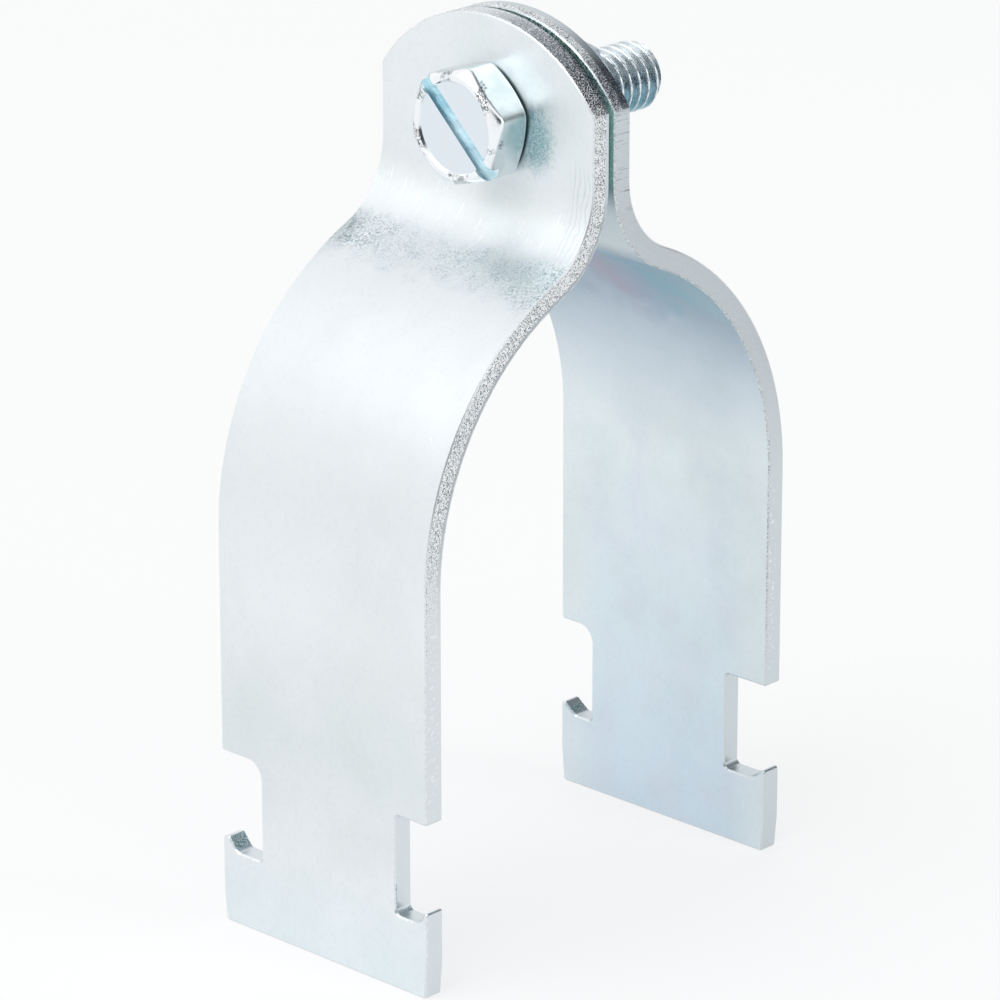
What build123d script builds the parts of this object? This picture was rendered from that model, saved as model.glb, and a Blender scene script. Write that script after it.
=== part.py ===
from build123d import *
from collections import namedtuple
from math import acos, cos, degrees, radians, sin, sqrt, tan
import os

# Rigid strut clamp for round conduit: two bent straps, one slotted screw and one square nut.
# X runs along the screw, with its head at -X. Y runs along the conduit. Z is up.
# The origin is at the middle of the clamp, level with the bottoms of its two feet.
# All sizes are in millimetres.

# The strip that both straps are cut from
strap_width = 31.75
strap_thickness = 2.5
edge_break = 0.2  # chamfer that tumbling leaves all round the sheared outline

# The bent side view of one strap
seat_radius = 30.6  # inside of the arc round the conduit
seat_past_middle = 4.14  # from the middle of the clamp to an arc's centre, on the far side
seat_height = 46.65  # conduit axis above the foot bottoms
fold_radius = 9.8  # outside face, where the arc turns up into the ear
ear_gap = 0.8  # between the two ears

# The ear
hole_above_fold = 4.8  # screw axis above the end of the fold
hole_clearance = 0.38  # round the screw in the ears' holes
ear_above_hole = 11.7
ear_crown = 8.45  # rise of the ear's rounded top over its corners

# The foot, with a notch in each edge that takes a lip of the channel
shoulder_height = 20.45
notch_floor_height = 8.7
neck_width = 20.8
neck_shift = 0.7  # the necks lie off the straps' middles, opposite ways
foot_corner_width = 0.35
foot_corner_height = 4.0
foot_side_radius = 12.0
corner_margin = 0.15  # the blank's outward corners are rounder than the edge break by this
fillet_room = 0.95  # share of a side that the fillets at its two ends may take

# One notch: its corner radii at the shoulder, neck foot and hook, then the hook's form
notch_sizes = "shoulder_radius neck_radius hook_radius tip_width tip_drop flank_run hook_rise"
Notch = namedtuple("Notch", notch_sizes)
front_left_notch = Notch(2.1, 0.4, 1.0, 1.0, 0.3, 1.3, 1.6)
rear_left_notch = Notch(2.1, 0.4, 0.8, 0.45, 0.2, 1.8, 1.3)
front_right_notch = Notch(0.5, 0.7, 2.2, 0.45, 0.2, 0.6, 1.5)
rear_right_notch = Notch(0.5, 0.7, 3.8, 0.45, 0.2, 1.1, 1.4)

# The screw
screw_diameter = 7.94
screw_length = 25.0  # under the head
screw_end_chamfer = 1.0
screw_clocking = 44.0  # degrees that the slot stands above the Y axis
head_across_flats = 12.4
head_height = 5.1
head_bearing_inset = 0.2  # from the flats to the bearing face's rim
head_front_inset = 0.3  # from the flats to the front face's rim
head_chamfer_angle = 30.0
recess_rim = 0.7  # width of the rim round the recess in the head
recess_depth = 0.3
slot_width = 1.7
slot_depth = 1.5
slot_off_middle = 0.25  # toward its upper side

# The square nut
nut_across_flats = 14.29
nut_thickness = 5.56
nut_chamfer_reach = 0.45  # from the flats out to where the corners' chamfer starts
nut_chamfer_angle = 30.0
nut_countersink = 0.5
thread_clearance = 0.05  # between the screw and the nut's plain bore
blank_margin = 0.3  # the round bars that chamfer the head and the nut reach past the corners
seat_clearance = 0.02  # under the head and the nut, where they meet the fold

# Sizes and places worked out from the sizes above
corner_radius = edge_break + corner_margin
ear_inner_x = ear_gap / 2
ear_outer_x = ear_inner_x + strap_thickness
leg_inner_x = seat_radius - seat_past_middle
leg_outer_x = leg_inner_x + strap_thickness
fold_centre_x = ear_outer_x + fold_radius
centre_distance = seat_radius + strap_thickness + fold_radius
fold_angle = degrees(acos((fold_centre_x + seat_past_middle) / centre_distance))
fold_top = seat_height + centre_distance * sin(radians(fold_angle))
hole_height = fold_top + hole_above_fold
ear_top = hole_height + ear_above_hole
hole_radius = screw_diameter / 2 + hole_clearance
head_bearing_radius = head_across_flats / 2 - head_bearing_inset
head_front_radius = head_across_flats / 2 - head_front_inset
nut_chamfer_radius = nut_across_flats / 2 + nut_chamfer_reach
screw_axis = Axis((0, 0, hole_height), (1, 0, 0))


def fold_rise(reach):
    """Distance that the fold stands out from the ear's face, this far below the screw axis."""
    below_fold_top = max(0.0, reach - hole_above_fold)
    return fold_radius - sqrt(fold_radius**2 - below_fold_top**2)


head_bearing_x = ear_outer_x + fold_rise(head_bearing_radius) + seat_clearance
nut_bearing_x = ear_outer_x + fold_rise(nut_across_flats / 2) + seat_clearance


def strap_face_line(depth):
    """Side view of the strap's surface that lies this deep from its inside face."""
    leg_x = leg_inner_x + depth
    ear_x = ear_inner_x + depth
    Line((leg_x, 0), (leg_x, seat_height))
    CenterArc((-seat_past_middle, seat_height), seat_radius + depth, 0, fold_angle)
    CenterArc(
        (fold_centre_x, fold_top),
        fold_radius + strap_thickness - depth,
        180 + fold_angle,
        -fold_angle,
    )
    Line((ear_x, fold_top), (ear_x, ear_top))


def edge_points(side, neck, notch):
    """One edge of the blank from its shoulder down, seen along the screw, with corner radii."""
    edge = side * strap_width / 2
    tip = edge - side * notch.tip_width
    flank = tip - side * notch.flank_run
    tip_height = notch_floor_height + notch.hook_rise
    return [
        ((edge, shoulder_height), corner_radius),
        ((neck, shoulder_height), notch.shoulder_radius),
        ((neck, notch_floor_height), notch.neck_radius),
        ((flank, notch_floor_height), notch.hook_radius),
        ((tip, tip_height), corner_radius),
        ((edge, tip_height - notch.tip_drop), corner_radius),
        ((edge, foot_corner_height), foot_side_radius),
        ((edge - side * foot_corner_width, 0), corner_radius),
    ]


def corner_radii(corners):
    """Radii of the outline's inner corners, made smaller where two don't fit on the side between."""
    points = [Vector(point) for point, radius in corners]
    radii = [radius for point, radius in corners]
    sides = [after - before for before, after in zip(points, points[1:])]
    half_turns = [radians(side.get_angle(after) / 2) for side, after in zip(sides, sides[1:])]
    reaches = [radius * tan(turn) for radius, turn in zip(radii, [0, *half_turns, 0])]
    fits = [
        min(1, fillet_room * side.length / (near + far))
        for side, near, far in zip(sides, reaches, reaches[1:])
    ]
    return [radius * min(near, far) for radius, near, far in zip(radii[1:-1], fits, fits[1:])]


def make_strap(name, side, left_notch, right_notch):
    """One strap. Side is 1 for the rear strap, at +X, and -1 for its mirror twin in front."""
    half_width = strap_width / 2
    left_neck = neck_width / 2 + side * neck_shift
    right_neck = left_neck - neck_width
    left_edge = edge_points(1, left_neck, left_notch)
    right_edge = edge_points(-1, right_neck, right_notch)
    left_ear_corner = (half_width, ear_top - ear_crown)
    right_ear_corner = (-half_width, ear_top - ear_crown)
    corners = [(left_ear_corner, 0)] + left_edge + right_edge[::-1] + [(right_ear_corner, 0)]
    with BuildPart() as strap:
        with BuildSketch(Plane.XZ):
            with BuildLine():
                strap_face_line(0)
                strap_face_line(strap_thickness)
                Line((leg_inner_x, 0), (leg_outer_x, 0))
                Line((ear_inner_x, ear_top), (ear_outer_x, ear_top))
            make_face()
        extrude(amount=half_width, both=True)
        # The blank's outline, seen along the screw
        with BuildSketch(Plane.YZ):
            with BuildLine():
                FilletPolyline(*[point for point, radius in corners], radius=corner_radii(corners))
                ThreePointArc(right_ear_corner, (0, ear_top), left_ear_corner)
            make_face()
            with Locations((0, hole_height)):
                Circle(hole_radius, mode=Mode.SUBTRACT)
        extrude(amount=leg_outer_x, mode=Mode.INTERSECT)
        # Both faces' edges are broken all round the outline and the hole, but not along the bends
        full_width = strap.edges().filter_by(Axis.Y).filter_by(lambda edge: edge.length > half_width)
        bottom = strap.faces().sort_by(Axis.Z)[0].edges().filter_by(Axis.Y)
        through = strap.edges().filter_by(Axis.X)
        chamfer(bottom + (strap.edges() - full_width - through), edge_break)
        if side < 0:
            mirror(about=Plane.YZ, mode=Mode.REPLACE)
    strap.part.label = name
    return strap.part


def turned_blank(near, far, outer_radius, chamfer_angle):
    """Half section of a bar about the screw axis. Near and far give each end's place and radius."""
    near_x, near_radius = near
    far_x, far_radius = far
    near_chamfer = (outer_radius - near_radius) * tan(radians(chamfer_angle))
    far_chamfer = (outer_radius - far_radius) * tan(radians(chamfer_angle))
    with BuildSketch(Plane.XZ) as half_section:
        with Locations((0, hole_height)):
            Polygon(
                (near_x, 0),
                (near_x, near_radius),
                (near_x + near_chamfer, outer_radius),
                (far_x - far_chamfer, outer_radius),
                (far_x, far_radius),
                (far_x, 0),
                align=None,
            )
    return half_section.sketch


def make_screw():
    """Slotted hexagon screw with its head in front of the front strap's ear."""
    bearing_x = -head_bearing_x
    front_x = bearing_x - head_height
    hexagon_radius = head_across_flats / 2 / cos(radians(30))
    with BuildPart() as screw:
        with BuildSketch(Plane.YZ.offset(front_x)):
            with Locations((0, hole_height)):
                RegularPolygon(hexagon_radius, 6, rotation=screw_clocking)
        extrude(amount=head_height)
        head_blank = turned_blank(
            (front_x, head_front_radius),
            (bearing_x, head_bearing_radius),
            hexagon_radius + blank_margin,
            head_chamfer_angle,
        )
        revolve(head_blank, axis=screw_axis, mode=Mode.INTERSECT)
        with BuildSketch(Plane.YZ.offset(bearing_x)):
            with Locations((0, hole_height)):
                Circle(screw_diameter / 2)
        extrude(amount=screw_length)
        chamfer(screw.faces().sort_by(Axis.X)[-1].edges(), screw_end_chamfer)
        with BuildSketch(Plane.YZ.offset(front_x)):
            with Locations((0, hole_height)):
                Circle(head_front_radius - recess_rim)
        extrude(amount=recess_depth, mode=Mode.SUBTRACT)
        with BuildSketch(Plane.YZ.offset(front_x)):
            with Locations(Location((0, hole_height), screw_clocking)):
                with Locations((0, slot_off_middle)):
                    Rectangle(2 * head_across_flats, slot_width)
        extrude(amount=slot_depth, mode=Mode.SUBTRACT)
    screw.part.label = "clamp_screw"
    return screw.part


def make_nut():
    """Square nut behind the rear strap's ear, which the fold below it keeps from turning."""
    outer_x = nut_bearing_x + nut_thickness
    square_radius = nut_across_flats / sqrt(2)
    with BuildPart() as nut:
        with BuildSketch(Plane.YZ.offset(nut_bearing_x)):
            with Locations((0, hole_height)):
                Rectangle(nut_across_flats, nut_across_flats)
        extrude(amount=nut_thickness)
        nut_blank = turned_blank(
            (nut_bearing_x, square_radius + blank_margin),
            (outer_x, nut_chamfer_radius),
            square_radius + blank_margin,
            nut_chamfer_angle,
        )
        revolve(nut_blank, axis=screw_axis, mode=Mode.INTERSECT)
        with BuildSketch(Plane.YZ.offset(nut_bearing_x)):
            with Locations((0, hole_height)):
                Circle(screw_diameter / 2 + thread_clearance)
        extrude(amount=nut_thickness, mode=Mode.SUBTRACT)
        bore = nut.faces().filter_by(GeomType.CYLINDER).sort_by(SortBy.RADIUS)[0]
        chamfer(bore.edges().filter_by(GeomType.CIRCLE), nut_countersink)
    nut.part.label = "square_nut"
    return nut.part


pieces = (
    make_strap("front_strap", -1, front_left_notch, front_right_notch),
    make_strap("rear_strap", 1, rear_left_notch, rear_right_notch),
    make_screw(),
    make_nut(),
)
os.makedirs("parts", exist_ok=True)
for piece in pieces:
    export_step(piece, f"parts/{piece.label}.step")
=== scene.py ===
"""Looks of the strut clamp: plated steel straps with sheared edges, a slotted screw and a nut."""

from collections import namedtuple
from math import cos, exp, log, pi, radians, sin, tan

import bmesh
import bpy
from mathutils import Matrix, Vector


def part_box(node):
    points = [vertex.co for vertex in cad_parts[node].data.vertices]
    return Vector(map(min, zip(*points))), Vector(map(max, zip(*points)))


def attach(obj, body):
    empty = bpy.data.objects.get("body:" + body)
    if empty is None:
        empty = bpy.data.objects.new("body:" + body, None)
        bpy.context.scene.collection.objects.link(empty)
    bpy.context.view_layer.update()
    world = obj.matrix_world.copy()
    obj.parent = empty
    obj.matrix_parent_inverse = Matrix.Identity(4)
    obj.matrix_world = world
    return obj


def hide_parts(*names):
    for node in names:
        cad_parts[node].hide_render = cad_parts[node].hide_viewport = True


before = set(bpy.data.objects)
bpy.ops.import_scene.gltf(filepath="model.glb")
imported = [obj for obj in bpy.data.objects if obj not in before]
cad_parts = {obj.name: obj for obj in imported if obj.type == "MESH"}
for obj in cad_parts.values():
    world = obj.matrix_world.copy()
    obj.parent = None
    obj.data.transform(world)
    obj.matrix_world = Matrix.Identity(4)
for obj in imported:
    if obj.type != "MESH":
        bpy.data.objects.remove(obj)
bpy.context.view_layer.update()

MM = 0.001

# Camera, fitted to the photograph's edges: angles in degrees, lengths in millimetres
CAMERA_AZIMUTH = -46.498
CAMERA_ELEVATION = 20.149
CAMERA_ROLL = -0.038
CAMERA_DISTANCE = 655.392
CAMERA_OFFSET = (-0.516, -0.418)
CAMERA_TARGET = (0, 0, 46.655)
SENSOR_WIDTH = 36.0
FOCAL_LENGTH = 212.54

# Light: directions in the tent, and places in metres
DIM_CORNER = (0.72, -0.31, 0.62)
DARK_OPENING = (-0.70, -0.68, 0.25)
LIT_POINT = (0, 0, 0.06)
FLOOR_HALF_WIDTH = 3.0

# Strap sizes that its material's masks follow, in millimetres
STRAP_THICKNESS = 2.5
SEAT_RADIUS = 30.6
SEAT_PAST_MIDDLE = 4.14
SEAT_HEIGHT = 46.65
FOLD_RADIUS = 9.8
FOLD_CENTRE_X = 12.7
FOLD_TOP = 86.107
FOLD_ANGLE = 66.887
EAR_INNER_X = 0.4
EAR_HALF_WIDTH = 15.875
CROWN_RADIUS = 19.14
CROWN_CENTRE_Z = 83.47
EDGE_DEPTHS = (0.12, 2.37)  # between the broken rims

# Where marks lie on a strap, in millimetres: heights above the feet, and places across it
TINGED_HEIGHTS = (66, 76)
CRAZED_HEIGHTS = (75.4, 77.9)
RUBBED_HEIGHTS = (78.5, 82.5)
WIPED_HEIGHTS = (78.5, 88.0)
WIPED_SIDE = (-17, -12.6)
BLISTERED_HEIGHTS = (23, 44)
HOOK_FILM_HEIGHTS = (8.9, 12.2)
HOOK_FILM_REACH = (9.9, 14.8)
# Middle and squeeze of the painted reflection of the screw's head on the front ear
HEAD_REFLECTION_MIDDLE = (-7.4, 90.0)
HEAD_REFLECTION_SQUEEZE = (0.30, 0.20)
CROWN_HEIGHT = 93.5

# Tones along a strap, as rows of a height and the red, green and blue there. The rolled faces'
# tones are painted light and shade: lighter and darker by height outside, and darker inside up to
# just below the folds.
OUTSIDE_LIGHT_AND_SHADE_TONES = [
    (3, 233, 241, 245), (12, 234, 238, 240), (25, 227, 233, 235), (40, 238, 242, 244),
    (64, 230, 235, 238), (92, 237, 242, 244)]
INSIDE_LIGHT_AND_SHADE_TONES = [
    (8, 217, 233, 243), (25, 221, 234, 240), (47, 231, 240, 243), (57, 207, 219, 228),
    (65, 176, 192, 205), (75.5, 146, 163, 178), (78, 206, 217, 221)]
SMOOTH_EDGE_TONES = [
    (14, 224, 231, 234), (46, 222, 228, 231), (62, 205, 211, 214), (82, 207, 213, 216),
    (92, 214, 221, 225)]

# Tones across a strap, as rows of a place across it and the tone there
TINGE_TONES = [
    (-14, 172, 198, 208), (-8, 148, 186, 204), (0, 172, 170, 188), (10, 158, 182, 198)]
# The crown's tones are a painted dark reflection, darkest toward the -Y side
CROWN_DARK_REFLECTION_TONES = [
    (-13, 64, 68, 74), (-9, 112, 120, 130), (-4, 160, 166, 174), (1, 216, 220, 224)]

# Tones over a noise's value
TORN_TONES = [
    (0.38, 104, 110, 114), (0.44, 174, 180, 183), (0.49, 236, 239, 241), (0.56, 252, 254, 255)]
SCREW_TONES = [(0.35, 242, 246, 249), (0.65, 249, 251, 252)]
# The nut's darker tones are a painted dark reflection
NUT_DARK_REFLECTION_TONES = [(0.35, 160, 174, 185), (0.65, 190, 202, 210)]

# Tones along the slot in millimetres from its middle, and up the thread as shares of its radius.
# Both carry painted shade: darker along the slot toward its upper end, and on the thread pale at
# the top, dark in the middle and teal film below.
SLOT_SHADE_TONES = [
    (-5.0, 247, 248, 247), (-2.6, 240, 243, 245), (0.7, 253, 251, 250), (3.3, 216, 230, 233),
    (5.4, 236, 243, 244)]
THREAD_SHADE_AND_FILM_TONES = [
    (-0.7, 174, 216, 228), (-0.25, 186, 216, 226), (0.1, 160, 176, 185), (0.35, 174, 185, 191),
    (0.6, 195, 204, 208)]

# Screw and nut, in millimetres. Their places come from the CAD boxes.
SCREW_RADIUS = 3.97
THREAD_PITCH = 1.411
THREAD_DEPTH = 0.8
THREAD_START_CLEARANCE = 1.5
THREAD_START_DROP = 0.1
SCREW_END_CHAMFER = 1.0
SCREW_CLOCKING = 44.0
HEAD_ACROSS_FLATS = 12.4
HEAD_HEIGHT = 5.1
HEAD_FRONT_RADIUS = 5.9
HEAD_BEARING_RADIUS = 6.0
HEAD_CHAMFER_ANGLE = 30.0
HEAD_SOFTNESS = 0.27
RECESS_RADIUS = 5.2
RECESS_DEPTH = 0.3
SLOT_WIDTH = 1.7
SLOT_DEPTH = 1.5
SLOT_OFF_MIDDLE = 0.25
NUT_ACROSS_FLATS = 14.29
NUT_CHAMFER_RADIUS = 7.6
NUT_CHAMFER_ANGLE = 30.0
NUT_BORE_RADIUS = 4.02
NUT_COUNTERSINK = 0.5
NUT_CORNER_SOFTNESS = 0.15
NUT_EDGE_SOFTNESS = 0.06
BLANK_MARGIN = 0.3

# Shares of the thread's pitch that half a crest and one flank take, and the flank's curve
CREST_SHARE = 0.05
FLANK_SHARE = 0.38
FLANK_POWER = 1.2

# Fineness of the meshes: counts, and the spacing of their rings in millimetres
SCREW_SIDES = 192
NUT_SIDES = 160
HEAD_RING_SPACING = 0.12
NUT_RING_SPACING = 0.2
THREAD_ROWS_PER_TURN = 18
ROUNDING_STEPS = 6

# Edges that turn by more than these angles stay sharp, in degrees
SCREW_SHARP_ANGLE = 50
NUT_SHARP_ANGLE = 40


def tone(red, green, blue):
    """The linear colour of a tone given as on a screen, from 0 to 255."""
    return tuple(((part / 255 + 0.055) / 1.055) ** 2.4 for part in (red, green, blue)) + (1,)


class Graph:
    """Adds nodes to one node tree. An input is given as a number, a colour or another output."""

    def __init__(self, tree):
        self.tree = tree
        tree.nodes.clear()

    def add(self, kind, inputs=None, **settings):
        node = self.tree.nodes.new(kind)
        for name, value in settings.items():
            setattr(node, name, value)
        for key, value in (inputs or {}).items():
            if isinstance(value, bpy.types.NodeSocket):
                self.tree.links.new(value, node.inputs[key])
            else:
                node.inputs[key].default_value = value
        return node

    def math(self, operation, first, second=0.0):
        return self.add("ShaderNodeMath", {0: first, 1: second}, operation=operation).outputs[0]

    def absolute(self, value):
        return self.math("ABSOLUTE", value)

    def total(self, first, *others):
        for other in others:
            first = self.math("ADD", first, other)
        return first

    def product(self, first, *others):
        for other in others:
            first = self.math("MULTIPLY", first, other)
        return first

    def length(self, first, second):
        squares = self.total(self.product(first, first), self.product(second, second))
        return self.math("SQRT", squares)

    def rise(self, value, low, high, out_low=0.0, out_high=1.0):
        """A smooth step from out_low to out_high, as value goes from low to high."""
        inputs = {"Value": value, "From Min": low, "From Max": high}
        inputs.update({"To Min": out_low, "To Max": out_high})
        node = self.add("ShaderNodeMapRange", inputs, interpolation_type="SMOOTHSTEP")
        return node.outputs["Result"]

    def band(self, value, low, high, blur):
        """1 where value lies from low to high, and 0 outside, over a blur."""
        into = self.rise(value, low - blur, low + blur)
        return self.product(into, self.rise(value, high + blur, high - blur))

    def mix(self, share, first, second):
        inputs = {"Factor": share, 6: first, 7: second}
        return self.add("ShaderNodeMix", inputs, data_type="RGBA").outputs[2]

    def mix_value(self, share, first, second):
        inputs = {"Factor": share, 2: first, 3: second}
        return self.add("ShaderNodeMix", inputs, data_type="FLOAT").outputs[0]

    def shade(self, colour, share, dark):
        """The colour multiplied by dark, as far as share."""
        inputs = {"Factor": share, 6: colour, 7: dark}
        node = self.add("ShaderNodeMix", inputs, data_type="RGBA", blend_type="MULTIPLY")
        return node.outputs[2]

    def noise(self, place, scale, detail=3.0, roughness=0.55):
        inputs = {"Vector": place, "Scale": scale, "Detail": detail, "Roughness": roughness}
        return self.add("ShaderNodeTexNoise", inputs).outputs["Fac"]

    def ramp(self, value, low, high, rows):
        """Colours spread over value, from rows of a place between low and high and its tone."""
        inputs = {"Value": value, "From Min": low, "From Max": high}
        along = self.add("ShaderNodeMapRange", inputs).outputs["Result"]
        node = self.add("ShaderNodeValToRGB", {"Fac": along})
        points = node.color_ramp.elements
        while len(points) < len(rows):
            points.new(0.5)
        for point, (place, *screen_tone) in zip(points, rows):
            point.position = (place - low) / (high - low)
            point.color = tone(*screen_tone)
        return node.outputs["Color"]

    def place_in_mm(self, shift=0.0):
        """The object's own coordinates in millimetres, and the same shifted for its textures."""
        place = self.add("ShaderNodeTexCoord").outputs["Object"]
        scaled = self.add("ShaderNodeVectorMath", {0: place, "Scale": 1 / MM}, operation="SCALE")
        shifted = self.add("ShaderNodeVectorMath", {0: scaled.outputs[0], 1: (shift, 0, 0)})
        return scaled.outputs[0], shifted.outputs[0]

    def split(self, vector):
        parts = self.add("ShaderNodeSeparateXYZ", {0: vector}).outputs
        return parts["X"], parts["Y"], parts["Z"]

    def facing(self):
        """How far the surface faces along each axis, either way, from 0 to 1."""
        normal = self.split(self.add("ShaderNodeTexCoord").outputs["Normal"])
        return [self.absolute(part) for part in normal]

    def toward(self, direction, target):
        """The cosine between two unit vectors."""
        inputs = {0: direction, 1: Vector(target).normalized()}
        node = self.add("ShaderNodeVectorMath", inputs, operation="DOT_PRODUCT")
        return node.outputs["Value"]

    def stretched(self, place, angles, scale):
        """The place turned by angles in degrees and scaled along each axis."""
        inputs = {"Vector": place, "Rotation": [radians(a) for a in angles], "Scale": scale}
        return self.add("ShaderNodeMapping", inputs).outputs[0]

    def finish_metal(self, colour, roughness, height, metallic=1.0):
        """Height is in millimetres."""
        bump = self.add("ShaderNodeBump", {"Height": height, "Distance": MM}).outputs[0]
        inputs = {"Base Color": colour, "Roughness": roughness, "Normal": bump}
        inputs["Metallic"] = metallic
        shader = self.add("ShaderNodeBsdfPrincipled", inputs)
        self.add("ShaderNodeOutputMaterial", {"Surface": shader.outputs[0]})


def new_material(name):
    material = bpy.data.materials.new(name)
    material.use_nodes = True
    return material, Graph(material.node_tree)


def depth_in_strap(graph, x, z):
    """How far a point lies from the strap's inside face, in millimetres."""
    across = graph.absolute(x)
    arc_x = graph.total(across, SEAT_PAST_MIDDLE)
    arc_z = graph.total(z, -SEAT_HEIGHT)
    in_arc = graph.total(graph.length(arc_x, arc_z), -SEAT_RADIUS)
    fold_reach = graph.length(graph.total(across, -FOLD_CENTRE_X), graph.total(z, -FOLD_TOP))
    in_fold = graph.math("SUBTRACT", FOLD_RADIUS + STRAP_THICKNESS, fold_reach)
    in_leg = graph.total(across, SEAT_PAST_MIDDLE - SEAT_RADIUS)
    in_ear = graph.total(across, -EAR_INNER_X)
    # Below the line through both bends' centres lies the arc, and above it the fold
    past_line = graph.math(
        "SUBTRACT",
        graph.product(arc_x, sin(radians(FOLD_ANGLE))),
        graph.product(arc_z, cos(radians(FOLD_ANGLE))),
    )
    bends = graph.mix_value(graph.math("GREATER_THAN", past_line, 0), in_fold, in_arc)
    upper = graph.mix_value(graph.math("GREATER_THAN", z, FOLD_TOP), bends, in_ear)
    return graph.mix_value(graph.math("GREATER_THAN", z, SEAT_HEIGHT), in_leg, upper)


# One strap's places, its noise of fine grains, and masks of its parts from 0 to 1
Strap = namedtuple("Strap", "place y z sideways grains depth outside edge rim between")


def survey_strap(graph, shift):
    """The strap's places and masks. Its textures are shifted, so that no two straps are alike."""
    own_place, place = graph.place_in_mm(shift)
    x, y, z = graph.split(own_place)
    facing, sideways, _ = graph.facing()
    grains = graph.noise(place, 6.0, 2.0, 0.75)
    depth = depth_in_strap(graph, x, z)
    outside = graph.rise(depth, 1.0, 1.5)
    edge = graph.band(depth, *EDGE_DEPTHS, 0.02)
    upright = graph.math("MAXIMUM", graph.rise(z, 86, 87), graph.rise(z, 46, 45))
    slanted = graph.math("MAXIMUM", graph.rise(sideways, 0.25, 0.45), upright)
    rim = graph.product(
        graph.band(facing, 0.22, 0.88, 0.04), slanted, graph.rise(sideways, 0.96, 0.90),
        graph.math("SUBTRACT", 1.0, edge))
    # Just inside the rim of the gap between the ears
    to_crown = graph.math(
        "SUBTRACT", CROWN_RADIUS, graph.length(y, graph.total(z, -CROWN_CENTRE_Z)))
    to_side = graph.math("SUBTRACT", EAR_HALF_WIDTH, graph.absolute(y))
    between = graph.product(
        graph.rise(facing, 0.86, 0.95), graph.rise(z, 84.5, 87), graph.rise(depth, 1.4, 1.0),
        graph.rise(graph.math("MINIMUM", to_crown, to_side), 1.8, 1.0))
    return Strap(place, y, z, sideways, grains, depth, outside, edge, rim, between)


def inside_tones(graph, strap):
    """Colour of the inside face, with painted light and shade by height, its thin films, and
    painted shade of the gap between the ears.
    """
    z = strap.z
    # Painted light and shade by height, darkest at about 75 mm, just below the folds
    colour = graph.ramp(z, 0, 100, INSIDE_LIGHT_AND_SHADE_TONES)
    # Thin plating in the inside corner below the folds shows pink and blue-green
    tinge = graph.ramp(strap.y, -16, 16, TINGE_TONES)
    drift = graph.noise(strap.place, 0.15, 2.0)
    swirl = graph.product(graph.total(drift, -0.5), 14.0)
    tinged = graph.band(graph.total(z, swirl), *TINGED_HEIGHTS, 3.0)
    colour = graph.mix(graph.product(tinged, graph.rise(z, 77, 76)), colour, tinge)
    lavender = graph.product(graph.rise(drift, 0.38, 0.68), graph.rise(z, 60, 45, 0, 0.5))
    colour = graph.mix(lavender, colour, tone(221, 227, 238))
    pale_sides = graph.product(
        graph.rise(graph.absolute(strap.y), 9, 15), graph.rise(z, 60, 40, 0, 0.6))
    colour = graph.mix(pale_sides, colour, tone(232, 240, 241))
    # Between the ears: thin teal film with painted shade of the gap, much darker above 95 mm, with
    # pale specks
    film = graph.mix(graph.rise(z, 93, 96), tone(166, 216, 211), tone(70, 116, 116))
    film = graph.mix(graph.rise(strap.grains, 0.52, 0.60), film, tone(226, 246, 242))
    return graph.mix(strap.between, colour, film)


def crazed_band(graph, strap, wander, colour):
    """The narrow band of crazed plating where the strip bends from the arc into the fold."""
    band_height = graph.total(strap.z, graph.product(wander, 3.6))
    crazed = graph.product(graph.band(band_height, *CRAZED_HEIGHTS, 1.1), strap.outside)
    from_middle = graph.absolute(graph.total(strap.y, 1.0))
    near_sides = graph.rise(from_middle, 6, 13.5, 0.5, 1.0)
    patches = graph.rise(graph.noise(strap.place, 0.45, 2.0), 0.40, 0.60, 0.4, 1.0)
    cracked_place = graph.stretched(strap.place, (30, 0, 0), (1.0, 1.0, 1.8))
    cracks = graph.noise(cracked_place, 3.0, 3.0, 0.75)
    crazing = graph.product(crazed, near_sides, patches, graph.rise(cracks, 0.50, 0.58))
    film = graph.mix(patches, tone(240, 246, 245), tone(229, 235, 243))
    colour = graph.shade(colour, graph.product(crazed, 0.5), film)
    colour = graph.shade(colour, crazing, tone(186, 201, 201))
    frost = graph.product(crazed, near_sides, graph.rise(cracks, 0.46, 0.40), 0.8)
    colour = graph.mix(frost, colour, tone(250, 253, 254))
    dark_end = graph.product(crazed, graph.rise(strap.y, 12.5, 15.2), patches, 0.8)
    return graph.shade(colour, dark_end, tone(190, 196, 202)), crazing


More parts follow.
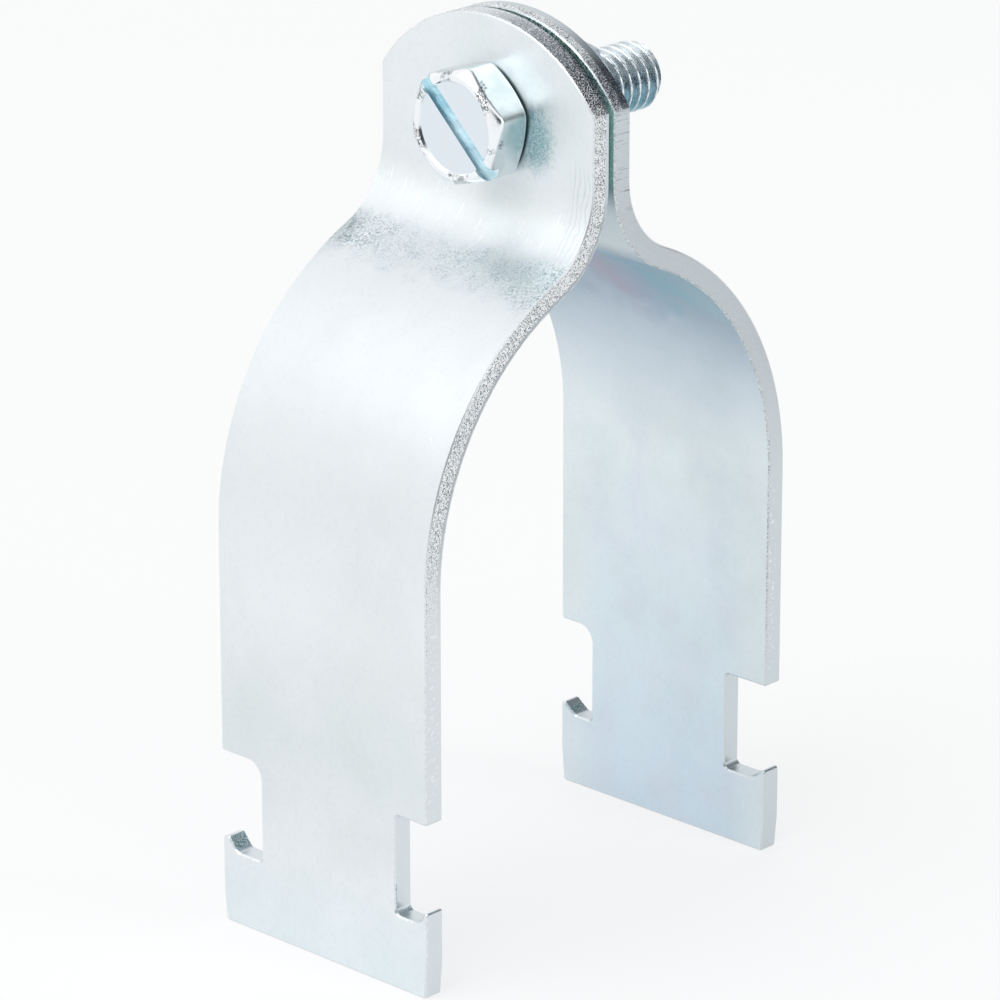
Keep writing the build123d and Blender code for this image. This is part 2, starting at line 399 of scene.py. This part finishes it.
def strap_faces(graph, strap):
    """Colour, roughness and height of the rolled faces, outside and inside."""
    place, y, z = strap.place, strap.y, strap.z
    # Painted light and shade by height on the outside face
    outside = graph.ramp(z, 0, 100, OUTSIDE_LIGHT_AND_SHADE_TONES)
    colour = graph.mix(strap.outside, inside_tones(graph, strap), outside)
    clouds = graph.noise(place, 0.07, 3.0)
    mottle = graph.noise(place, 1.6, 4.0, 0.65)
    colour = graph.shade(colour, graph.rise(clouds, 0.42, 0.65), tone(251, 252, 251))
    colour = graph.shade(colour, graph.rise(mottle, 0.48, 0.72), tone(250, 251, 252))
    wander = graph.total(graph.noise(place, 0.35, 2.0), -0.5)
    colour, crazing = crazed_band(graph, strap, wander, colour)

    # Slanting rub marks above that band, and a few nicks and scratches elsewhere
    rub_lines = graph.noise(graph.stretched(place, (35, 0, 0), (1.0, 3.6, 0.35)), 1.0, 0.0)
    rubs = graph.product(
        graph.rise(rub_lines, 0.735, 0.76), graph.band(z, *RUBBED_HEIGHTS, 1.5), strap.outside)
    scratch_lines = graph.noise(graph.stretched(place, (-24, 0, 0), (1.0, 3.0, 0.12)), 1.0, 1.0)
    scratches = graph.product(graph.rise(scratch_lines, 0.74, 0.78), 0.4)
    nicks = graph.rise(graph.noise(place, 0.9, 1.0), 0.775, 0.80)
    colour = graph.shade(colour, scratches, tone(240, 244, 245))
    colour = graph.mix(graph.product(rubs, 0.8), colour, tone(253, 254, 255))
    # Fine lines along the right side, where the press wiped the fold
    wave = graph.math("SINE", graph.total(graph.product(y, 9.0), graph.product(wander, 12.0)))
    lines = graph.product(
        graph.band(y, *WIPED_SIDE, 0.4), graph.band(z, *WIPED_HEIGHTS, 1.5), strap.outside,
        graph.rise(wave, 0.5, 0.9), 0.55)
    colour = graph.shade(colour, lines, tone(224, 230, 232))

    roughness = graph.rise(clouds, 0.3, 0.7, 0.33, 0.40)
    roughness = graph.total(roughness, graph.product(crazing, 0.2), graph.product(rubs, -0.08))
    height = graph.total(
        graph.product(graph.total(graph.noise(place, 0.13, 1.0), -0.5), 0.12),
        graph.product(graph.total(mottle, -0.5), 0.003),
        graph.product(nicks, -0.012),
    )
    return colour, roughness, height


def sheared_edges(graph, strap, torn_from, torn_to, grain, hatch):
    """Colour, roughness and height of the sheared edges, torn from one depth to another.

    Grain is how torn they are and hatch how lined, each from 0 to 1.
    """
    y, z, sideways = strap.y, strap.z, strap.sideways
    wander = graph.product(graph.total(graph.noise(strap.place, 1.2, 2.0), -0.5), 0.6)
    wavy_depth = graph.total(strap.depth, wander)
    torn_band = graph.band(wavy_depth, torn_from, torn_to, 0.10)
    on_arc = graph.rise(z, 40, 58)
    ear_crown = graph.rise(sideways, 0.99, 0.95)
    torn_share = graph.math("MAXIMUM", graph.product(on_arc, grain), ear_crown)
    torn = graph.product(torn_band, torn_share, graph.rise(z, 36, 40))

    smooth = graph.ramp(z, 0, 100, SMOOTH_EDGE_TONES)
    lined_place = graph.stretched(strap.place, (0, 6, 0), (0.3, 1.0, 4.6))
    hatching = graph.product(
        graph.rise(graph.noise(lined_place, 1.0, 2.0, 0.7), 0.60, 0.64),
        graph.rise(z, 78, 86), graph.rise(sideways, 0.93, 0.98), hatch, 0.75)
    smooth = graph.shade(smooth, hatching, tone(166, 170, 174))
    burr = graph.product(
        graph.band(wavy_depth, torn_from - 0.3, torn_from + 0.05, 0.1),
        on_arc, graph.rise(z, 86, 82), grain, 0.7)
    smooth = graph.shade(smooth, burr, tone(196, 200, 202))
    smooth = graph.shade(smooth, 1.0 - grain, tone(240, 242, 243))
    colour = graph.mix(torn, smooth, graph.ramp(strap.grains, 0.30, 0.70, TORN_TONES))

    # Pale blisters of plating low on the legs, and dark film caught in the hooks
    blisters = graph.product(
        graph.rise(graph.noise(strap.place, 1.7, 2.0), 0.57, 0.60),
        graph.band(z, *BLISTERED_HEIGHTS, 3), torn_band)
    colour = graph.mix(graph.product(blisters, 0.6), colour, tone(245, 248, 250))
    in_hook = graph.product(
        graph.rise(sideways, 0.95, 0.88),
        graph.band(z, *HOOK_FILM_HEIGHTS, 0.3),
        graph.band(graph.absolute(y), *HOOK_FILM_REACH, 0.3),
    )
    film_spots = graph.rise(strap.grains, 0.53, 0.46, 0.15, 1.0)
    colour = graph.shade(colour, graph.product(in_hook, film_spots), tone(128, 170, 176))

    roughness = graph.total(graph.mix_value(torn, 0.36, 0.44), graph.product(in_hook, 0.22))
    height = graph.total(
        graph.product(torn, graph.total(strap.grains, -0.5), 0.14),
        graph.product(blisters, 0.015))
    return colour, roughness, height


def front_strap_marks(graph, strap, colour):
    """Colour with a painted dark reflection on the front ear's crown and a painted reflection of
    the screw's head beside it.
    """
    y, z = strap.y, strap.z
    # Painted dark reflection on the crown's edge, with bright specks in its grain
    crown_dark_reflection = graph.ramp(y, -16, 4, CROWN_DARK_REFLECTION_TONES)
    crown_dark_reflection = graph.mix(graph.rise(strap.grains, 0.50, 0.57, 0, 0.9), crown_dark_reflection, tone(244, 247, 249))
    on_crown = graph.product(
        strap.edge, graph.rise(z, CROWN_HEIGHT, CROWN_HEIGHT + 2.0), graph.rise(y, 5, 2))
    colour = graph.mix(on_crown, colour, crown_dark_reflection)

    # Painted reflection of the screw's head: ragged teal-grey specks on the ear's face beside it
    reach = graph.length(
        graph.product(graph.total(y, -HEAD_REFLECTION_MIDDLE[0]), HEAD_REFLECTION_SQUEEZE[0]),
        graph.product(graph.total(z, -HEAD_REFLECTION_MIDDLE[1]), HEAD_REFLECTION_SQUEEZE[1]))
    ragged = graph.total(reach, graph.product(graph.noise(strap.place, 1.4, 2.0, 0.7), 0.8))
    head_reflection = graph.product(
        graph.rise(strap.edge, 0.5, 0.0), strap.outside, graph.rise(ragged, 1.4, 0.7),
        graph.rise(strap.grains, 0.58, 0.44, 0.35, 1.0))
    return graph.shade(colour, head_reflection, tone(160, 200, 206)), head_reflection


def rear_strap_marks(graph, strap, colour):
    """Colour with a painted dark reflection at the -Y end of the rear ear's crown."""
    crown_end_dark_reflection = graph.product(
        strap.edge, graph.rise(strap.z, CROWN_HEIGHT, CROWN_HEIGHT + 1.5),
        graph.rise(strap.y, -10.0, -12.8), graph.rise(strap.grains, 0.60, 0.54, 0.2, 1.0))
    return graph.shade(colour, crown_end_dark_reflection, tone(124, 128, 134))


def rim_tones(graph, strap):
    """Bright along the outer rims, a painted highlight on a burr, and dull with specks along the
    inner ones.
    """
    specks = graph.product(graph.rise(strap.grains, 0.56, 0.42), graph.rise(strap.z, 16, 34))
    inner = graph.mix(specks, tone(222, 228, 231), tone(164, 172, 176))
    outer_specks = graph.rise(strap.grains, 0.54, 0.42, 0, 0.5)
    outer = graph.mix(outer_specks, tone(238, 242, 244), tone(196, 202, 206))
    return graph.mix(strap.outside, inner, outer)


def plated_strap(name, shift, torn_from, torn_to, grain, hatch, in_front):
    """Bright zinc-plated strip with satin rolled faces and sheared edges."""
    material, graph = new_material(name)
    strap = survey_strap(graph, shift)
    face_colour, face_roughness, face_height = strap_faces(graph, strap)
    edge_colour, edge_roughness, edge_height = sheared_edges(
        graph, strap, torn_from, torn_to, grain, hatch)
    colour = graph.mix(strap.edge, face_colour, edge_colour)
    roughness = graph.mix_value(strap.edge, face_roughness, edge_roughness)
    if in_front:
        # The painted reflection of the head is also a little rougher
        colour, head_reflection = front_strap_marks(graph, strap, colour)
        roughness = graph.total(roughness, graph.product(head_reflection, 0.1))
    else:
        colour = rear_strap_marks(graph, strap, colour)
    # The rims take their tones, with the painted highlight along the outer ones
    colour = graph.mix(strap.rim, colour, rim_tones(graph, strap))
    height = graph.mix_value(strap.edge, face_height, edge_height)
    height = graph.product(height, graph.rise(strap.rim, 1.0, 0.0))
    # The dull film and painted shade between the ears are less metallic, and scatter the light
    # that enters there
    graph.finish_metal(colour, roughness, height, graph.rise(strap.between, 0, 1, 1.0, 0.2))
    return material


def head_shade_and_reflections(graph, place, reach, depth, clouds, colour):
    """Colour with painted shade on the six flats and in the recess, and painted dark reflections
    as specks on its rim.
    """
    on_flats = graph.product(graph.rise(graph.facing()[0], 0.25, 0.10),
                             graph.rise(depth, HEAD_HEIGHT - 0.2, HEAD_HEIGHT - 0.4))
    # Painted shade on the flats
    flats = graph.mix(graph.rise(clouds, 0.40, 0.60), tone(212, 222, 225), tone(224, 233, 235))
    colour = graph.mix(on_flats, colour, flats)
    # Painted shade in the recess
    recess = graph.product(graph.rise(reach, RECESS_RADIUS, RECESS_RADIUS - 0.15),
                           graph.rise(depth, HEAD_HEIGHT, HEAD_HEIGHT - 0.5))
    colour = graph.mix(recess, colour, tone(229, 236, 242))
    on_rim = graph.product(graph.rise(reach, RECESS_RADIUS - 0.1, RECESS_RADIUS + 0.1),
                           graph.rise(depth, 1.6, 1.2))
    # Dark specks on the rim: painted dark reflections
    specks = graph.product(
        on_rim, graph.rise(graph.noise(place, 0.33, 2.0), 0.51, 0.58),
        graph.rise(graph.noise(place, 6.0, 2.0, 0.7), 0.49, 0.52), 0.9)
    return graph.mix(specks, colour, tone(70, 76, 82))


def slot_painted_shade(graph, y, up, depth, colour):
    """Colour with painted shade in the slot: darker steel blue walls, teal toward its upper end.
    """
    clocking = radians(SCREW_CLOCKING)
    across = graph.total(graph.product(y, -sin(clocking)), graph.product(up, cos(clocking)))
    along = graph.total(graph.product(y, cos(clocking)), graph.product(up, sin(clocking)))
    half_width = 0.5 * SLOT_WIDTH + 0.04
    in_slot = graph.product(
        graph.band(across, SLOT_OFF_MIDDLE - half_width, SLOT_OFF_MIDDLE + half_width, 0.02),
        graph.band(depth, RECESS_DEPTH + 0.05, SLOT_DEPTH + 0.04, 0.02))
    on_wall = graph.product(in_slot, graph.rise(depth, SLOT_DEPTH, SLOT_DEPTH - 0.05))
    # Painted shade in the slot: darker floor and walls, tinted blue
    colour = graph.mix(in_slot, colour, tone(224, 234, 238))
    colour = graph.mix(on_wall, colour, tone(184, 207, 216))
    # Painted shade along the slot, darkest toward its upper end
    return graph.shade(colour, in_slot, graph.ramp(along, -6, 6, SLOT_SHADE_TONES))


def thread_film_and_shade(graph, up, reach, mottle):
    """Colour of the thread: teal film below, painted shade and dark spots across the middle, paler
    at the top, and a painted highlight on its crests.
    """
    height = graph.product(up, 1 / SCREW_RADIUS)
    # Painted shade and light by height over the thread's teal film
    film = graph.ramp(height, -1, 1, THREAD_SHADE_AND_FILM_TONES)
    spots = graph.product(
        graph.rise(mottle, 0.46, 0.56), graph.band(height, -0.1, 0.4, 0.2), 0.9)
    film = graph.shade(film, spots, tone(120, 132, 140))
    # Painted highlight along the crests
    return graph.mix(graph.rise(reach, 3.80, 3.95), film, tone(238, 244, 246))


def screw_plating(axis_height, front_x):
    """Glossy plating of the screw, darker with painted shade in its thread and under its head."""
    material, graph = new_material("screw_plating")
    own_place, place = graph.place_in_mm()
    x, y, z = graph.split(own_place)
    up = graph.total(z, -axis_height)
    reach = graph.length(y, up)
    depth = graph.total(x, -front_x)
    clouds = graph.noise(place, 0.5, 3.0)
    mottle = graph.noise(place, 5.0, 3.0, 0.7)
    colour = graph.ramp(clouds, 0.3, 0.7, SCREW_TONES)
    colour = head_shade_and_reflections(graph, place, reach, depth, clouds, colour)
    colour = slot_painted_shade(graph, y, up, depth, colour)
    # Painted shade on the underside of the head
    below_head = graph.product(
        graph.rise(depth, HEAD_HEIGHT - 0.3, HEAD_HEIGHT - 0.05), graph.rise(reach, 4.1, 4.3))
    on_shank = graph.product(
        graph.rise(depth, HEAD_HEIGHT, HEAD_HEIGHT + 0.2), graph.rise(reach, 4.2, 4.1))
    colour = graph.mix(below_head, colour, tone(40, 84, 88))
    colour = graph.mix(on_shank, colour, thread_film_and_shade(graph, up, reach, mottle))

    rim_grain = graph.rise(reach, RECESS_RADIUS, RECESS_RADIUS + 0.15)
    grain = graph.total(graph.product(rim_grain, 0.012), graph.product(on_shank, 0.02), 0.002)
    roughness = graph.rise(mottle, 0.3, 0.7, 0.10, 0.20)
    roughness = graph.total(roughness, graph.product(on_shank, 0.1))
    height = graph.total(graph.product(graph.total(clouds, -0.5), 0.03),
                         graph.product(graph.total(mottle, -0.5), grain))
    graph.finish_metal(colour, roughness, height)
    return material


def nut_plating():
    """Duller blue-grey plating of the nut, darkened by a painted dark reflection, with tumbling
    marks.
    """
    material, graph = new_material("nut_plating")
    place = graph.place_in_mm()[1]
    clouds = graph.noise(place, 0.4, 3.0)
    mottle = graph.noise(place, 2.2, 4.0, 0.65)
    # Painted dark reflection in the nut's tones
    colour = graph.ramp(clouds, 0.3, 0.7, NUT_DARK_REFLECTION_TONES)
    colour = graph.shade(colour, graph.rise(mottle, 0.50, 0.70), tone(205, 212, 218))
    roughness = graph.rise(mottle, 0.3, 0.7, 0.22, 0.38)
    height = graph.total(graph.product(clouds, 0.05), graph.product(mottle, 0.02))
    graph.finish_metal(colour, roughness, height)
    return material


def soft_min(values, softness):
    """The least of the values, rounded over where two of them are close."""
    low = min(values)
    return low - softness * log(sum(exp((low - value) / softness) for value in values))


def rounded(corners, step):
    """A line through corners of (x, radius, rounding), with arcs at them and points each step."""
    points = [Vector(corners[0][:2])]
    for before, corner, after in zip(corners, corners[1:], corners[2:]):
        here = Vector(corner[:2])
        to_before = (Vector(before[:2]) - here).normalized()
        to_after = (Vector(after[:2]) - here).normalized()
        half_angle = to_before.angle(to_after) / 2
        if corner[2] == 0:
            points.append(here)
            continue
        reach = corner[2] / tan(half_angle)
        centre = here + (to_before + to_after).normalized() * corner[2] / sin(half_angle)
        start = here + to_before * reach - centre
        turn = pi - 2 * half_angle
        if start.x * to_after.y - start.y * to_after.x < 0:
            turn = -turn
        for k in range(ROUNDING_STEPS + 1):
            angle = turn * k / ROUNDING_STEPS
            points.append(centre + Vector((
                start.x * cos(angle) - start.y * sin(angle),
                start.x * sin(angle) + start.y * cos(angle),
            )))
    points.append(Vector(corners[-1][:2]))
    filled = [points[0]]
    for before, after in zip(points, points[1:]):
        count = max(1, round((after - before).length / step))
        filled += [before.lerp(after, k / count) for k in range(1, count + 1)]
    return filled


def polygon_reach(angle, sides, across_flats, turn, softness):
    """Distance from the middle to the side of a regular polygon, rounded at its corners."""
    reaches = []
    for side in range(sides):
        slope = cos(angle - turn - (side + 0.5) * 2 * pi / sides)
        if slope > 0.3:  # the other sides lie too far off to matter
            reaches.append(across_flats / 2 / slope)
    return soft_min(reaches, softness)


def angles_round(count):
    """Evenly spaced angles round the screw's axis."""
    return [2 * pi * k / count for k in range(count)]


def ring(x, reaches, angles, axis_height):
    """Points round the screw's axis, in metres. The place and reaches are in millimetres."""
    return [
        (x * MM, reach * cos(angle) * MM, axis_height + reach * sin(angle) * MM)
        for reach, angle in zip(reaches, angles)]


def turned_mesh(name, rings, closed_loop):
    """A mesh from rings of points round the screw axis, with a fan over each end if it is open."""
    mesh = bpy.data.meshes.new(name)
    points = [point for row in rings for point in row]
    count = len(rings[0])
    faces = []
    pairs = len(rings) if closed_loop else len(rings) - 1
    for row in range(pairs):
        near = row * count
        far = (row + 1) % len(rings) * count
        for k in range(count):
            after = (k + 1) % count
            faces.append((near + k, near + after, far + after, far + k))
    if not closed_loop:
        for row in (0, len(rings) - 1):
            points.append(sum((Vector(p) for p in rings[row]), Vector()) / count)
            middle = len(points) - 1
            for k in range(count):
                faces.append((row * count + k, row * count + (k + 1) % count, middle))
    mesh.from_pydata(points, [], faces)
    piece = bpy.data.objects.new(name, mesh)
    bpy.context.scene.collection.objects.link(piece)
    edit = bmesh.new()
    edit.from_mesh(mesh)
    bmesh.ops.recalc_face_normals(edit, faces=edit.faces)
    edit.to_mesh(mesh)
    edit.free()
    mesh.shade_smooth()
    return piece


def thread_radius(x, angle, end_x):
    """Radius of the threaded shank, with a right-hand thread and a chamfered end."""
    turn = ((x - THREAD_PITCH * angle / (2 * pi)) / THREAD_PITCH) % 1
    from_crest = min(turn, 1 - turn)
    flank = min(1, max(0, (from_crest - CREST_SHARE) / FLANK_SHARE))
    radius = SCREW_RADIUS - THREAD_DEPTH * sin(flank * pi / 2) ** FLANK_POWER
    return min(radius, SCREW_RADIUS - SCREW_END_CHAMFER + (end_x - x))


def make_screw(axis_height, front_x, end_x):
    """The screw: a recessed hexagon head with a slot, and a threaded shank."""
    bearing_x = front_x + HEAD_HEIGHT
    corner_radius = HEAD_ACROSS_FLATS / 2 / cos(radians(30)) + BLANK_MARGIN
    cone = tan(radians(HEAD_CHAMFER_ANGLE))
    profile = rounded([
        (front_x + RECESS_DEPTH, 0.4, 0),
        (front_x + RECESS_DEPTH, RECESS_RADIUS - 0.15, 0.12),
        (front_x, RECESS_RADIUS + 0.1, 0.18),
        (front_x, HEAD_FRONT_RADIUS - 0.05, 0.22),
        (front_x + (corner_radius - HEAD_FRONT_RADIUS) * cone, corner_radius, 0),
        (bearing_x - (corner_radius - HEAD_BEARING_RADIUS) * cone, corner_radius, 0),
        (bearing_x, HEAD_BEARING_RADIUS, 0.15),
        (bearing_x, SCREW_RADIUS - THREAD_DEPTH, 0),
    ], HEAD_RING_SPACING)
    angles = angles_round(SCREW_SIDES)
    clocking = radians(SCREW_CLOCKING)
    hexagon = [
        polygon_reach(angle, 6, HEAD_ACROSS_FLATS, clocking, HEAD_SOFTNESS) for angle in angles]
    rings = []
    for x, reach in profile:
        reaches = [soft_min([reach, side], HEAD_SOFTNESS) for side in hexagon]
        rings.append(ring(x, reaches, angles, axis_height))
    thread_rows = round((end_x - bearing_x) / (THREAD_PITCH / THREAD_ROWS_PER_TURN))
    for row in range(1, thread_rows + 1):
        x = bearing_x + (end_x - bearing_x) * row / thread_rows
        grown = min(1, max(0, (x - bearing_x) / THREAD_START_CLEARANCE))
        drop = THREAD_START_DROP * (1 - grown)
        reaches = [thread_radius(x, angle, end_x) - drop for angle in angles]
        rings.append(ring(x, reaches, angles, axis_height))
    screw = turned_mesh("screw", rings, closed_loop=False)
    cut_slot(screw, axis_height, front_x)
    return screw


def cut_slot(screw, axis_height, front_x):
    """Cuts the driving slot across the head."""
    bpy.ops.mesh.primitive_cube_add(size=1)
    cutter = bpy.context.object
    cutter.name = "slot_cutter"
    length = 2 * HEAD_ACROSS_FLATS * MM
    cutter.data.transform(Matrix.Diagonal((2 * SLOT_DEPTH * MM, length, SLOT_WIDTH * MM, 1)))
    cutter.data.transform(Matrix.Translation((0, 0, SLOT_OFF_MIDDLE * MM)))
    cutter.data.transform(Matrix.Rotation(radians(SCREW_CLOCKING), 4, "X"))
    cutter.data.transform(Matrix.Translation((front_x * MM, 0, axis_height)))
    cut = screw.modifiers.new("slot", "BOOLEAN")
    cut.object = cutter
    cut.operation = "DIFFERENCE"
    cut.solver = "EXACT"
    graph = bpy.context.evaluated_depsgraph_get()
    mesh = bpy.data.meshes.new_from_object(screw.evaluated_get(graph))
    screw.modifiers.clear()
    screw.data = mesh
    bpy.data.objects.remove(cutter)
    mesh.set_sharp_from_angle(angle=radians(SCREW_SHARP_ANGLE))


def make_nut(axis_height, bearing_x, outer_x):
    """The square nut, with chamfered corners on its outer face and a countersunk bore."""
    corner_radius = NUT_ACROSS_FLATS / 2 * 2 ** 0.5 + BLANK_MARGIN
    cone = tan(radians(NUT_CHAMFER_ANGLE))
    bore_mouth = NUT_BORE_RADIUS + NUT_COUNTERSINK
    corners = [
        (bearing_x, corner_radius, 0),
        (outer_x - (corner_radius - NUT_CHAMFER_RADIUS) * cone, corner_radius, 0),
        (outer_x, NUT_CHAMFER_RADIUS, 0.2),
        (outer_x, bore_mouth, 0.1),
        (outer_x - NUT_COUNTERSINK, NUT_BORE_RADIUS, 0),
        (bearing_x + NUT_COUNTERSINK, NUT_BORE_RADIUS, 0),
        (bearing_x, bore_mouth, 0),
        (bearing_x, corner_radius, 0),
    ]
    angles = angles_round(NUT_SIDES)
    square = [
        polygon_reach(angle, 4, NUT_ACROSS_FLATS, radians(45), NUT_CORNER_SOFTNESS)
        for angle in angles]
    rings = []
    for x, reach in rounded(corners, NUT_RING_SPACING)[:-1]:
        reaches = [soft_min([reach, side], NUT_EDGE_SOFTNESS) for side in square]
        rings.append(ring(x, reaches, angles, axis_height))
    nut = turned_mesh("nut", rings, closed_loop=True)
    nut.data.set_sharp_from_angle(angle=radians(NUT_SHARP_ANGLE))
    return nut


def dress_straps():
    """The CAD straps keep their meshes, and get the plating."""
    platings = {
        "front_strap": plated_strap(
            "front_strap_plating", shift=0.0, torn_from=0.62, torn_to=2.35, grain=1.0,
            hatch=0.3, in_front=True),
        "rear_strap": plated_strap(
            "rear_strap_plating", shift=60.0, torn_from=0.2, torn_to=1.3, grain=0.06,
            hatch=1.0, in_front=False),
    }
    for node, plating in platings.items():
        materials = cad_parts[node].data.materials
        materials.clear()
        materials.append(plating)


def dress_screw_and_nut():
    low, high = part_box("clamp_screw")
    axis_height = (low.z + high.z) / 2
    screw = make_screw(axis_height, low.x / MM, high.x / MM)
    screw.data.materials.clear()
    screw.data.materials.append(screw_plating(axis_height / MM, low.x / MM))
    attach(screw, "screw")
    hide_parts("clamp_screw")

    low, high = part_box("square_nut")
    nut = make_nut(axis_height, low.x / MM, high.x / MM)
    nut.data.materials.append(nut_plating())
    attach(nut, "rear")
    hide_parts("square_nut")


def make_camera():
    azimuth = radians(CAMERA_AZIMUTH)
    elevation = radians(CAMERA_ELEVATION)
    roll = radians(CAMERA_ROLL)
    back = Vector((
        sin(azimuth) * cos(elevation), -cos(azimuth) * cos(elevation), sin(elevation)))
    level = Vector((cos(azimuth), sin(azimuth), 0))
    upright = back.cross(level)
    right = level * cos(roll) + upright * sin(roll)
    up = upright * cos(roll) - level * sin(roll)
    place = Vector(CAMERA_TARGET) + right * CAMERA_OFFSET[0] + up * CAMERA_OFFSET[1]
    place += back * CAMERA_DISTANCE
    data = bpy.data.cameras.new("camera")
    data.sensor_width = SENSOR_WIDTH
    data.lens = FOCAL_LENGTH
    data.clip_start = 0.01
    camera = bpy.data.objects.new("camera", data)
    camera.matrix_world = Matrix((
        (right.x, up.x, back.x, place.x * MM),
        (right.y, up.y, back.y, place.y * MM),
        (right.z, up.z, back.z, place.z * MM),
        (0, 0, 0, 1),
    ))
    bpy.context.scene.collection.objects.link(camera)
    bpy.context.scene.camera = camera


def make_floor():
    """Pale paper, whiter to the camera and in mirrors, which keeps the clamp's shadow."""
    mesh = bpy.data.meshes.new("floor")
    half = FLOOR_HALF_WIDTH
    corners = [(-half, -half, 0), (half, -half, 0), (half, half, 0), (-half, half, 0)]
    mesh.from_pydata(corners, [], [(0, 1, 2, 3)])
    floor = bpy.data.objects.new("floor", mesh)
    bpy.context.scene.collection.objects.link(floor)
    material, graph = new_material("floor_paper")
    path = graph.add("ShaderNodeLightPath").outputs
    mirrored = graph.math("MAXIMUM", path["Is Glossy Ray"], path["Is Transmission Ray"])
    paper = graph.add("ShaderNodeBsdfDiffuse", {"Color": (0.92, 0.93, 0.94, 1)}).outputs[0]
    white = graph.add("ShaderNodeEmission", {"Color": (1, 1, 1, 1), "Strength": 1.0}).outputs[0]
    share = graph.math(
        "MAXIMUM", graph.product(path["Is Camera Ray"], 0.7), graph.product(mirrored, 0.45))
    mixed = graph.add("ShaderNodeMixShader", {0: share, 1: paper, 2: white}).outputs[0]
    graph.add("ShaderNodeOutputMaterial", {"Surface": mixed})
    mesh.materials.append(material)


def make_world():
    """A light tent, with a dark opening on one side and a dim corner opposite it."""
    world = bpy.data.worlds.new("studio")
    bpy.context.scene.world = world
    world.use_nodes = True
    graph = Graph(world.node_tree)
    direction = graph.add("ShaderNodeTexCoord").outputs["Generated"]
    height = graph.split(direction)[2]
    tent = graph.mix(graph.rise(height, 0.70, 0.95), (1.0, 1.0, 1.0, 1), (0.80, 0.81, 0.83, 1))
    corner = graph.rise(graph.toward(direction, DIM_CORNER), 0.80, 0.93)
    tent = graph.mix(corner, tent, (0.14, 0.16, 0.18, 1))
    opening = graph.rise(graph.toward(direction, DARK_OPENING), 0.90, 0.97)
    tent = graph.mix(opening, tent, (0.06, 0.07, 0.08, 1))
    seen = graph.add("ShaderNodeLightPath").outputs["Is Camera Ray"]
    colour = graph.mix(seen, tent, (1, 1, 1, 1))
    background = graph.add("ShaderNodeBackground", {"Color": colour, "Strength": 1.0})
    graph.add("ShaderNodeOutputWorld", {"Surface": background.outputs[0]})


def add_softbox(name, place, size, power):
    """A soft area lamp, in metres and watts, that faces the clamp."""
    data = bpy.data.lights.new(name, "AREA")
    data.shape = "RECTANGLE"
    data.size, data.size_y = size
    data.energy = power
    lamp = bpy.data.objects.new(name, data)
    lamp.location = place
    lamp.rotation_euler = (Vector(LIT_POINT) - Vector(place)).to_track_quat("-Z", "Y").to_euler()
    bpy.context.scene.collection.objects.link(lamp)


dress_straps()
dress_screw_and_nut()
make_camera()
make_floor()
make_world()
add_softbox("key_softbox", place=(-0.55, 0.10, 0.75), size=(0.75, 0.75), power=2.2)
add_softbox("side_softbox", place=(0.15, -0.85, 0.45), size=(0.3, 0.6), power=1.0)
bpy.context.scene.view_settings.view_transform = "Standard"
